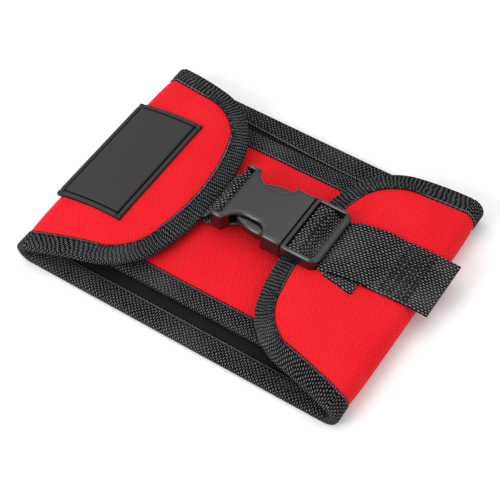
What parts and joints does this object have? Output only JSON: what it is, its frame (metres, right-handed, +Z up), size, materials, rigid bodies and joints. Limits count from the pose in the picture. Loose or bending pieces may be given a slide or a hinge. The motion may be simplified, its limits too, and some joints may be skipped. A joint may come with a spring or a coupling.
{
  "type": "padded wrist cuff",
  "caption": "Padded fabric wrist cuff with tape-bound edges, folded into two flaps that a webbing strap and side-release buckle hold shut.",
  "frame": {"origin": "centre of the flat outer face of the cuff's back, where it rests on the table", "axes": "+X along the cuff from the labelled flap to the strap's flap, +Y across it, +Z up out of the table"},
  "size_m": [0.1363, 0.103, 0.0183],
  "materials": {
    "red_oxford": "woven",
    "grosgrain": "ribbed",
    "lining": "smooth",
    "foam": "foam",
    "magnet": "plated",
    "webbing": "woven",
    "buckle_plastic": "satin",
    "label_rubber": "matte"
  },
  "bodies": {
    "back": {"back_shell": "red_oxford", "back_foam": "foam", "back_lining": "lining", "back_magnets": "magnet", "back_binding_near": "grosgrain", "back_binding_far": "grosgrain", "inner_pad_backing": "lining", "inner_pad_foam": "foam", "inner_pad_shell": "red_oxford", "inner_pad_binding_near": "grosgrain", "inner_pad_binding_far": "grosgrain", "left_fold_cloth": "red_oxford", "left_fold_binding": "grosgrain", "right_fold_cloth": "red_oxford", "right_fold_binding": "grosgrain"},
    "left_flap": {"left_flap_shell": "red_oxford", "left_flap_foam": "foam", "left_flap_lining": "lining", "left_flap_magnets": "magnet", "left_flap_binding": "grosgrain", "label_patch": "label_rubber", "female_webbing": "webbing"},
    "right_flap": {"right_flap_shell": "red_oxford", "right_flap_foam": "foam", "right_flap_lining": "lining", "right_flap_magnets": "magnet", "right_flap_binding": "grosgrain", "strap_sewn": "webbing", "strap_free": "webbing", "strap_tail": "webbing"},
    "buckle_female": {"buckle_female": "buckle_plastic"},
    "buckle_male": {"buckle_male": "buckle_plastic", "strap_loop": "webbing"},
    "arm_near": {"arm_near": "buckle_plastic"},
    "arm_far": {"arm_far": "buckle_plastic"}
  },
  "joints": [
    {"name": "left_flap_open", "type": "hinge", "parent": "back", "child": "left_flap", "pos_m": [-0.0597, 0, 0.0053], "axis": [0, -1, 0], "range_deg": [0, 75], "deforming": ["left_fold_cloth", "left_fold_binding"]},
    {"name": "right_flap_open", "type": "hinge", "parent": "back", "child": "right_flap", "pos_m": [0.0597, 0, 0.0053], "axis": [0, 1, 0], "range_deg": [0, 75], "deforming": ["right_fold_cloth", "right_fold_binding"]},
    {"name": "buckle_female_level", "type": "hinge", "parent": "left_flap", "child": "buckle_female", "pos_m": [-0.013, 0.0034, 0.0125], "axis": [0, 1, 0], "range_deg": [0, 75], "deforming": ["female_webbing"]},
    {"name": "buckle_male_level", "type": "hinge", "parent": "right_flap", "child": "buckle_male", "pos_m": [0.013, 0.0034, 0.0125], "axis": [0, -1, 0], "range_deg": [0, 75], "deforming": ["strap_free", "strap_tail"]},
    {"name": "arm_near_press", "type": "hinge", "parent": "buckle_male", "child": "arm_near", "pos_m": [0.0148, -0.005, 0.01465], "axis": [0, 0, -1], "range_deg": [0, 6], "stiffness_Nm_per_rad": 0.02},
    {"name": "arm_far_press", "type": "hinge", "parent": "buckle_male", "child": "arm_far", "pos_m": [0.0148, 0.0118, 0.01465], "axis": [0, 0, 1], "range_deg": [0, 6], "stiffness_Nm_per_rad": 0.02}
  ],
  "couplings": [
    {"joint": "right_flap_open", "follows": "left_flap_open", "ratio": 1},
    {"joint": "buckle_female_level", "follows": "left_flap_open", "ratio": 1},
    {"joint": "buckle_male_level", "follows": "left_flap_open", "ratio": 1}
  ]
}
